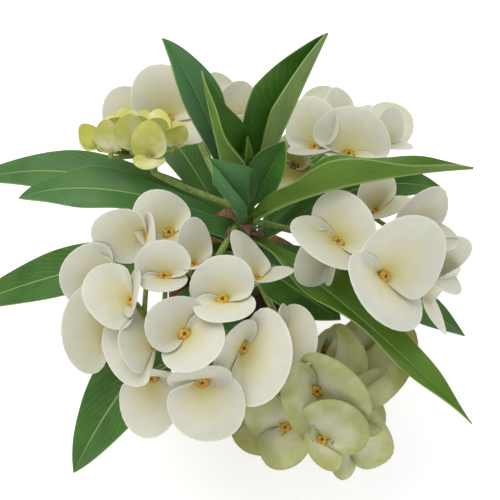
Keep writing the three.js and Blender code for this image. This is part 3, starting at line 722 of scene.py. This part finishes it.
def pot_outline(pot):
    """The pot's section from the middle of its foot to the middle of its floor, with the edges of its rim broken."""
    band, edge = pot.height - pot.band, POT_EDGE * MM
    inside = wall_radius(pot, pot.height) - pot.wall
    return [
        (0, 0),
        (pot.foot_radius, 0),
        (wall_radius(pot, band), band),
        (wall_radius(pot, band) + pot.step, band + edge),
        (pot.rim_radius, pot.height - edge),
        (pot.rim_radius - edge, pot.height),
        (inside + edge, pot.height),
        (inside, pot.height - edge),
        (wall_radius(pot, pot.floor) - pot.wall, pot.floor),
        (0, pot.floor),
    ]


def drill_drains(context, piece, pot):
    """Cuts the drain holes through the floor of the pot."""
    bm = bmesh.new()
    for turn in DRAIN_TURNS:
        bmesh.ops.create_cone(
            bm,
            cap_ends=True,
            segments=24,
            radius1=pot.drain_radius,
            radius2=pot.drain_radius,
            depth=pot.floor * 3,
            matrix=Matrix.Translation(direction(turn, 0) * pot.drain_outwards),
        )
    drill = new_object("drain_drill", bm)
    cut = piece.modifiers.new("drain", "BOOLEAN")
    cut.operation = "DIFFERENCE"
    cut.object = drill
    context.view_layer.update()
    piece.data = bpy.data.meshes.new_from_object(piece.evaluated_get(context.evaluated_depsgraph_get()))
    piece.modifiers.clear()
    bpy.data.objects.remove(drill)


class PLANT_OT_pot(bpy.types.Operator):
    """Builds the clay pot, with rounded edges and four drain holes in its floor."""

    bl_idname = "crown_of_thorns.pot"
    bl_label = "Pot"

    def execute(self, context):
        pot = context.scene.plant_pot
        bm = new_mesh()
        turned(bm, pot_outline(pot), 96)
        # fired clay is dull and dusty, and blotched where damp has dried
        skin = grained_skin("fired_clay", pot.clay, (0.82, 1.18), 160.0, 0.85, 0.0004)
        piece = finished("clay_pot", bm, [skin], "pot", "clay", sharp=35)
        drill_drains(context, piece, pot)
        return {"FINISHED"}


class PLANT_OT_soil(bpy.types.Operator):
    """Builds the mounded potting mix, whose crumbs roughen its surface."""

    bl_idname = "crown_of_thorns.soil"
    bl_label = "Soil"

    def execute(self, context):
        pot = context.scene.plant_pot
        gap = FIT_GAP * MM
        low, top = pot.floor + gap, pot.height - pot.soil_depth
        foot, reach = (wall_radius(pot, z) - pot.wall - gap for z in (low, top))
        outline = [(0, low), (foot, low)]
        for i in range(SOIL_RINGS + 1):
            share = 1 - i / SOIL_RINGS
            outline.append((reach * share, top + pot.soil_mound * (1 - smoothstep(share, 0, 1))))
        bm = new_mesh()
        turned(bm, outline, 160)
        for corner in bm.verts:
            share = corner.co.xy.length / reach
            if corner.co.z > top - gap and share < 0.995:
                # crumbs some 2 and 6 mm wide, which end at the pot's wall
                crumbs = noise.noise(corner.co * 420) * 0.9 + noise.noise(corner.co * 170) * 0.8
                corner.co.z += (crumbs - 0.5) * MM * smoothstep(1 - share, 0, 0.05)
        # potting mix is dark where it is moist, with paler crumbs of bark, and never shines
        skin = grained_skin("potting_mix", pot.earth, (0.55, 1.7), 520.0, 0.95, 0.0008)
        finished("potting_soil", bm, [skin], "soil", "soil", sharp=80)
        return {"FINISHED"}


# ---------- stem ----------


def stem_at(low, high, n, count):
    """The stem's middle and radius in millimetres at thorn or scale n of a count spread from low to high."""
    z = low + (high - low) * n / (count - 1)
    above = next((i for i, ring in enumerate(STEM) if i and ring[2] >= z), len(STEM) - 1)
    a, b = STEM[above - 1], STEM[above]
    share = (z - a[2]) / (b[2] - a[2])
    return Vector(a[:3]).lerp(Vector(b[:3]), share), a[3] + (b[3] - a[3]) * share


def ridges(u, v):
    """How far the bark stands out, as a share of the stem's radius, with ridges that wind up it and lumps."""
    lumps = noise.noise(Vector((cos(tau * u), sin(tau * u), v * 14)))
    return 0.97 + 0.03 * sin(5 * tau * u + 40 * v) + 0.05 * lumps


def add_thorn(bm, n, settings):
    """Adds a thorn, which starts inside the bark and bends up a little."""
    middle, stem_radius = stem_at(THORN_LOW, THORN_HIGH, n, THORNS)
    out = direction(n * GOLDEN_TURN, 12 * (1 + sin(n * 2.1)))
    foot = (middle + out * stem_radius * 0.85) * MM
    reach = stem_radius * 0.15 * MM + settings.thorn_length * (0.75 + 0.25 * sin(n * 1.7))
    points = [foot + out * reach * share + UP * (0.06 * reach * share * share) for share, _ in THORN_SHAPE]
    tube(bm, points, [settings.thorn_radius * radius for _, radius in THORN_SHAPE], 12)


def scale_place(n, settings):
    """A function that gives where a share across and a share along a withered scale lie, in metres."""
    middle, stem_radius = stem_at(SCALE_LOW, SCALE_HIGH, n, SCALES)
    out = direction(n * GOLDEN_TURN + 20, 0)
    foot = (middle + out * stem_radius * 0.9) * MM
    reach = settings.scale_length * (0.8 + 0.25 * sin(n * 2.3))
    droop = 0.55 + 0.5 * sin(n * 1.3)

    def place(u, v):
        side = (2 * u - 1) * (1 - v**1.4) * reach * 0.38
        curl = noise.noise(Vector((u * 3, v * 3, n * 1.7))) * 1.6 * MM * v
        return foot + out * reach * v + UP.cross(out) * side + UP * (reach * v * (0.75 - droop * v) + curl)

    return place


class PLANT_OT_stem(bpy.types.Operator):
    """Builds the stem, the thorns that wind up it and the withered scales at its leafy top."""

    bl_idname = "crown_of_thorns.stem"
    bl_label = "Thorny stem"

    def execute(self, context):
        settings = context.scene.plant_stem
        bm = new_mesh()
        path = smooth_path([Vector(ring[:3]) * MM for ring in STEM], 12)
        tube(bm, path, [ring[3] * MM for ring in STEM], 40, ridges)
        bark = bark_skin("fleshy_bark", settings.green, settings.brown)
        finished("stem", bm, [bark], "thorny_stem", "bark", sharp=60)

        bm = new_mesh()
        for n in range(THORNS):
            add_thorn(bm, n, settings)
        # horn is hard and smooth enough to glint, with grey streaks
        horn = grained_skin("horny_thorn", settings.thorn, (0.7, 1.5), 420.0, 0.5, 0.0002)
        finished("thorns", bm, [horn], "thorny_stem", "bark")

        bm = new_mesh()
        for n in range(SCALES):
            thickened(bm, shaped_grid(bm, 8, 10, scale_place(n, settings)), settings.scale_thickness)
        # withered scales are dry, crinkled and dull like brown paper
        husk = grained_skin("papery_scale", settings.dried, (0.6, 1.45), 500.0, 0.8, 0.0003)
        finished("scales", bm, [husk, husk], "thorny_stem", "bark", turn=False)
        return {"FINISHED"}


# ---------- leaves ----------


def leaf_half_width(leaf, half, t):
    """How wide a half of a leaf is at a share of its length."""
    base = leaf["base"][half] + (1 - leaf["base"][half]) * smoothstep(t, 0, LEAF_WIDEST)
    taper = max(0.0, (t - LEAF_WIDEST) / (1 - LEAF_WIDEST))
    return leaf["width"] / 2 * base * (1 - taper ** leaf["point"])


def leaf_place(leaf):
    """A function that gives where a share across and a share along a leaf lie, in metres."""
    foot, middle, tip = (Vector(p) for p in leaf["route"])
    pull = middle * 2 - (foot + tip) / 2
    seed = foot.x * 3.1 + tip.y * 1.7

    def place(u, v):
        s, t = 2 * u - 1, v
        centre = foot * (1 - t) ** 2 + pull * (2 * t * (1 - t)) + tip * t * t
        along = ((pull - foot) * (1 - t) + (tip - pull) * t).normalized()
        normal = Vector(leaf["face"])
        normal = (normal - along * normal.dot(along)).normalized()
        normal.rotate(Quaternion(along, radians(leaf["twist"]) * t))
        right = along.cross(normal)
        half, side = (0, -1) if s < 0 else (1, 1)
        # the inner share of a half is only raised, and the rest of it curls
        raised = radians(leaf["fold"][half]) * (1 - leaf["opens"] * t * t)
        curled = raised - radians(leaf["roll"][half]) * smoothstep(abs(s), leaf["flat"], 1) * sin(pi * t)
        reach = leaf_half_width(leaf, half, t)
        inner, outer = reach * min(abs(s), leaf["flat"]), reach * max(abs(s) - leaf["flat"], 0)
        beside = inner * cos(raised) + outer * cos(curled)
        rise = inner * sin(raised) + outer * sin(curled)
        # the margins ripple and flutter, each in its own way
        phase = 2.2 * t + (0.35 if s < 0 else 0)
        rise += leaf["wave"] * s * s * sin(tau * phase) * sin(pi * t)
        rise += LEAF_FLUTTER * abs(s) ** 3 * noise.noise(Vector((seed, s * 2, t * 9))) * sin(pi * t)
        # the blade leaves the midrib in a soft curve and sinks between its side veins
        rise -= LEAF_HOLLOW * exp(-((s / 0.07) ** 2)) * (1 - t)
        swell = sin(tau * SIDE_VEINS * (t - VEIN_LEAN * abs(s))) * sin(pi * t)
        rise += VEIN_RELIEF * swell * abs(s) ** 0.5 * (1 - abs(s)) ** 0.5
        return (centre + right * side * beside + normal * rise) * MM

    return place


class PLANT_OT_leaves(bpy.types.Operator):
    """Builds each folded, rippled leaf, with its midrib standing out below."""

    bl_idname = "crown_of_thorns.leaves"
    bl_label = "Leaves"

    def execute(self, context):
        settings = context.scene.plant_leaf
        # the waxy upper side has a satin gloss, and the under side is paler and matt
        upper = leaf_skin("waxy_leaf_upper_side", settings.upper, settings, 0.42, 0.06)
        under = leaf_skin("matt_leaf_under_side", settings.under, settings, 0.55, 0.0)
        for name, row in LEAVES.items():
            leaf = {**PLAIN_LEAF, **row}
            bm = new_mesh()
            below = thickened(bm, shaped_grid(bm, 32, 80, leaf_place(leaf)), settings.thickness)
            marked(bm, bm.verts, tint=leaf["bloom"])
            bm.normal_update()
            surface_map = bm.loops.layers.uv["surface"]
            for corner in below:
                across, along = corner.link_loops[0][surface_map].uv
                rib = exp(-(((across - 0.5) / MIDRIB_WIDTH) ** 2)) * (1 - along) ** 0.7
                corner.co += corner.normal * rib * MIDRIB_HEIGHT * MM
            finished(name.replace("leaf_", "blade_"), bm, [upper, under], name, "leaf", turn=False)
        return {"FINISHED"}


# ---------- flower heads ----------


def flower_of(row, n, head):
    """A flower's values by name, with the ways it and its bracts look, and how far its bracts rise."""
    at, first, second, *more = row
    ways = [direction(turn, rise) for turn, rise, _, _ in (first, second)]
    out = (ways[0] + ways[1]).normalized()
    return {
        **PLAIN_FLOWER,
        **dict(*more),
        "place": Vector(at),
        "size": (first[2], second[2]),
        "width": (first[3], second[3]),
        "seed": n * 1.9 + len(head["flowers"]),
        "out": out,
        "ways": ways,
        "open": asin(ways[0].dot(out)),
    }


def flower_frame(flower, n):
    """A frame at a flower's cup, in metres: its Z the way the flower looks and its X towards a bract's tip."""
    out = flower["out"]
    forward = (flower["ways"][n] - out * flower["ways"][n].dot(out)).normalized()
    basis = Matrix((forward, out.cross(forward), out)).transposed().to_4x4()
    return Matrix.Translation(flower["place"] * MM) @ basis


def bract_place(flower, n, head, settings):
    """A function that gives where a share across and a share out along a flower's bract lie, in metres."""
    frame_of = flower_frame(flower, n)
    length, width = settings.bract_length * flower["size"][n], flower["width"][n]
    rise, seed, spread = flower["open"], flower["seed"] + n * pi, settings.bract_spread
    steeper = BRACT_FLARE * (radians(90) - rise)

    def place(u, v):
        ray = spread * (1 - 2 * u)
        edge = max(0.04, 1 - abs(ray / spread) ** head["round"])
        edge *= 1 + 0.03 * sin(2 * ray + seed) + 0.02 * sin(3 * ray + 2 * seed)
        share = edge * (BRACT_FOOT + (1 - BRACT_FOOT) * v)
        slope = rise + steeper * (1 - share**2)
        ahead = length * share * cos(slope) * cos(ray)
        aside = length * share * width * sin(ray)
        # a bract's sides rise less than its middle, and one of them more than the other
        height = length * share * sin(slope) * (cos(ray) ** 2 + (BRACT_SIDE * sin(ray)) ** 2) ** 0.5
        height -= flower["lap"] * BRACT_LAP * MM * ray / spread * min(1, share / 0.4)
        # soft waves, and the creases of an old bract
        height += BRACT_WAVE * MM * share**3 * sin(4 * ray + seed * 3)
        height += head["crumple"] * MM * noise.noise(Vector((ray * 1.3, share * 2, seed * 5))) * share
        return frame_of @ Vector((ahead, aside, height))

    return place


def forked_stalks(path, radii, centre, flowers, level, reach):
    """The forked stalks of a list of flowers, after a path that they share, as lists of points and radii. Each fork
    splits the flowers in two, across the way they spread most, and the first half goes on along the path."""
    if len(flowers) == 1:
        ends = [flowers[0]["place"] + flowers[0]["out"] * height for height, _ in STALK_END]
        return [(path + ends, radii + [radius for _, radius in STALK_END])]
    middle = sum((f["out"] for f in flowers), Vector()).normalized()
    split = centre + middle * (0 if level == 0 else reach * (0.14 + 0.17 * level))
    far = min(flowers, key=lambda f: f["out"].dot(middle))["out"]
    across = (far - middle * far.dot(middle)).normalized()
    ordered = sorted(flowers, key=lambda f: f["out"].dot(across))
    half = len(ordered) // 2
    radius = STALK_RADIUS if level == 0 else BRANCH_RADIUS
    return [
        *forked_stalks(path + [split], radii + [radius], centre, ordered[:half], level + 1, reach),
        *forked_stalks([split], [TWIG_RADIUS], centre, ordered[half:], level + 1, reach),
    ]


def build_bracts(bm, flower, head, settings):
    """Adds a flower's two bracts, each a little lighter or darker than the next."""
    for n in (0, 1):
        corners = shaped_grid(bm, 28, 12, bract_place(flower, n, head, settings))
        marked(bm, corners, tint=sin(flower["seed"] * 7.3 + n), age=flower["age"])
        thickened(bm, corners, settings.bract_thickness)


def build_cup(bm, flower, head, settings):
    """Adds the small cup between a flower's bracts: bean-shaped glands round a dried middle, which holds three
    withered styles on an old head."""
    frame_of = flower_frame(flower, 0)
    size = (0.95 + 0.25 * flower["size"][0]) * head["cup"] * MM
    withered = 0.9 * flower["age"]
    for outline, sides, tint in ((CUP, 16, withered), (CUP_HEART, 10, 0.85)):
        points = [frame_of @ Vector((0, 0, height * size)) for height, _ in outline]
        marked(bm, tube(bm, points, [radius * size for _, radius in outline], sides), tint=tint)
    for k in range(GLANDS):
        gland = frame_of @ Matrix.Rotation(tau * k / GLANDS + flower["seed"], 4, "Z")
        gland = gland @ Matrix.Translation(Vector(GLAND_PLACE) * size) @ Matrix.Rotation(radians(GLAND_LEAN), 4, "Y")
        gland = gland @ Matrix.Diagonal((*(radius * size for radius in GLAND_RADII), 1))
        ball = bmesh.ops.create_uvsphere(bm, u_segments=14, v_segments=8, radius=1, matrix=gland)
        marked(bm, ball["verts"], tint=withered)
    reach = settings.style_length
    for k in range(3 if head["withered"] else 0):
        lean = direction(120 * k + 50 * flower["seed"], 30)
        points = [
            frame_of @ (Vector((0, 0, 2.6 * size)) + lean * reach * share)
            + direction(70 * k, 0) * sin(5 * share + k) * reach * 0.16
            for share in (0, 0.2, 0.4, 0.6, 0.8, 1)
        ]
        marked(bm, tube(bm, points, [radius * MM for radius in STYLE_RADII], 6), tint=1)


class PLANT_OT_heads(bpy.types.Operator):
    """Builds each flower head: its forked stalks, its cups with their glands, and its pairs of bracts."""

    bl_idname = "crown_of_thorns.heads"
    bl_label = "Flower heads"

    def execute(self, context):
        settings = context.scene.plant_flower
        old, green, bud, throat = settings.old, settings.green_cream, settings.bud, settings.throat
        cream = bract_skin(
            "silky_cream_bract", settings.cream, settings.warm, throat, old, settings.rim, 0.12, 0.1, 0.0002
        )
        greenish = bract_skin(
            "silky_greenish_bract", green, settings.pale_green, throat, old, rgba(green, 0.5), 0.25, 0.3, 0.0016
        )
        budding = bract_skin(
            "silky_bud_bract", bud, bud, rgba(bud, 0.6), old, settings.bud_edge, 0.18, 0.8, 0.0008
        )
        looks = {"head_front_right": (greenish, "pale_green_bract"), "head_bud": (budding, "bud_bract")}
        # stalks are full of sap, so their skin has a soft gloss, and glands are wet with nectar and glint
        fleshy = grained_skin("fleshy_stalk", settings.stalk, (0.75, 1.3), 300.0, 0.45, 0.0002)
        sticky = grained_skin("sticky_gland", settings.gland, (0.6, 1.4), 900.0, 0.3, 0.0001, settings.dried)
        for name, row in HEADS.items():
            head = {**PLAIN_HEAD, **row}
            flowers = [flower_of(flower, n, head) for n, flower in enumerate(head["flowers"])]

            bm = new_mesh()
            for flower in flowers:
                build_bracts(bm, flower, head, settings)
            skin, slot_name = looks.get(name, (cream, "cream_bract"))
            finished(name.replace("head_", "bracts_"), bm, [skin, skin], name, slot_name, turn=False)

            bm = new_mesh()
            foot, fork = Vector(head["from"]), Vector(head["fork"])
            for points, radii in forked_stalks([foot], [STALK_RADIUS], fork, flowers, 0, head["reach"]):
                tube(bm, smooth_path([p * MM for p in points], 6), [r * MM for r in radii], 12)
            finished(name.replace("head_", "stalks_"), bm, [fleshy], name, slot_name)

            bm = new_mesh()
            for flower in flowers:
                build_cup(bm, flower, head, settings)
            finished(name.replace("head_", "glands_"), bm, [sticky], name, slot_name)
        return {"FINISHED"}


# ---------- stage ----------


def aimed(name, data, place, target):
    """Links a lamp or camera to the scene at a place, turned towards a target. Returns its object."""
    made = bpy.data.objects.new(name, data)
    made.location = place
    made.rotation_mode = "QUATERNION"
    made.rotation_quaternion = (target - place).to_track_quat("-Z", "Y")
    bpy.context.scene.collection.objects.link(made)
    return made


class PLANT_OT_stage(bpy.types.Operator):
    """Builds the floor, the soft light and the camera."""

    bl_idname = "crown_of_thorns.stage"
    bl_label = "Stage"

    def execute(self, context):
        settings = context.scene.plant_stage
        scene = context.scene
        scene.view_settings.view_transform = "Standard"
        bm = bmesh.new()
        bmesh.ops.create_circle(bm, cap_ends=True, segments=64, radius=FLOOR_RADIUS * MM)
        floor = new_object("floor", bm)
        # a matt sheet lit from below, so that shadows on it stay faint
        matt, _, _ = new_material(
            "backlit_matt_floor",
            Roughness=1.0,
            Base_Color=rgba(settings.floor),
            Emission_Color=rgba(settings.floor),
            Emission_Strength=settings.glow,
        )
        floor.data.materials.append(matt)

        world = bpy.data.worlds.new("studio")
        world.use_nodes = True
        sky = world.node_tree.nodes["Background"]
        sky.inputs["Color"].default_value = (0.97, 0.98, 1.0, 1.0)
        sky.inputs["Strength"].default_value = settings.fill
        scene.world = world

        lamp = bpy.data.lights.new("key_light", "AREA")
        lamp.shape = "DISK"
        lamp.size = KEY_SIZE * MM
        lamp.energy = settings.key
        lamp.color = (1.0, 0.985, 0.95)
        aimed("key_light", lamp, Vector(KEY_PLACE) * MM, Vector(KEY_TARGET) * MM)

        camera = bpy.data.cameras.new("camera")
        camera.lens = settings.lens
        camera.sensor_width = 36
        camera.clip_start = 0.01
        camera.clip_end = 50
        target = Vector(CAMERA_TARGET) * MM
        back = Vector((0, -cos(settings.elevation), sin(settings.elevation)))
        scene.camera = aimed("camera", camera, target + back * settings.distance, target)
        return {"FINISHED"}


# ---------- panel and registration ----------

OPERATORS = (
    PLANT_OT_pot,
    PLANT_OT_soil,
    PLANT_OT_stem,
    PLANT_OT_leaves,
    PLANT_OT_heads,
    PLANT_OT_stage,
)
GROUPS = {
    "plant_pot": PotSettings,
    "plant_stem": StemSettings,
    "plant_leaf": LeafSettings,
    "plant_flower": FlowerSettings,
    "plant_stage": StageSettings,
}


class PLANT_PT_parts(bpy.types.Panel):
    """Lists the plant's pieces and their settings."""

    bl_idname = "PLANT_PT_parts"
    bl_label = "Crown of Thorns Plant"
    bl_space_type = "VIEW_3D"
    bl_region_type = "UI"
    bl_category = "Crown of Thorns"

    def draw(self, context):
        for operator in OPERATORS:
            self.layout.operator(operator.bl_idname)
        for name, group in GROUPS.items():
            box = self.layout.box()
            box.label(text=group.__doc__.rstrip("."))
            for prop in group.__annotations__:
                box.prop(getattr(context.scene, name), prop)


CLASSES = (*GROUPS.values(), *OPERATORS, PLANT_PT_parts)


def register():
    """Registers the classes and puts each group of settings on the scene."""
    for cls in CLASSES:
        bpy.utils.register_class(cls)
    for name, group in GROUPS.items():
        setattr(bpy.types.Scene, name, PointerProperty(type=group))


def unregister():
    """Takes away what register added."""
    for name in GROUPS:
        delattr(bpy.types.Scene, name)
    for cls in reversed(CLASSES):
        bpy.utils.unregister_class(cls)


def main():
    """Builds every piece in order."""
    register()
    bpy.ops.crown_of_thorns.pot()
    bpy.ops.crown_of_thorns.soil()
    bpy.ops.crown_of_thorns.stem()
    bpy.ops.crown_of_thorns.leaves()
    bpy.ops.crown_of_thorns.heads()
    bpy.ops.crown_of_thorns.stage()


if __name__ == "__main__":
    main()
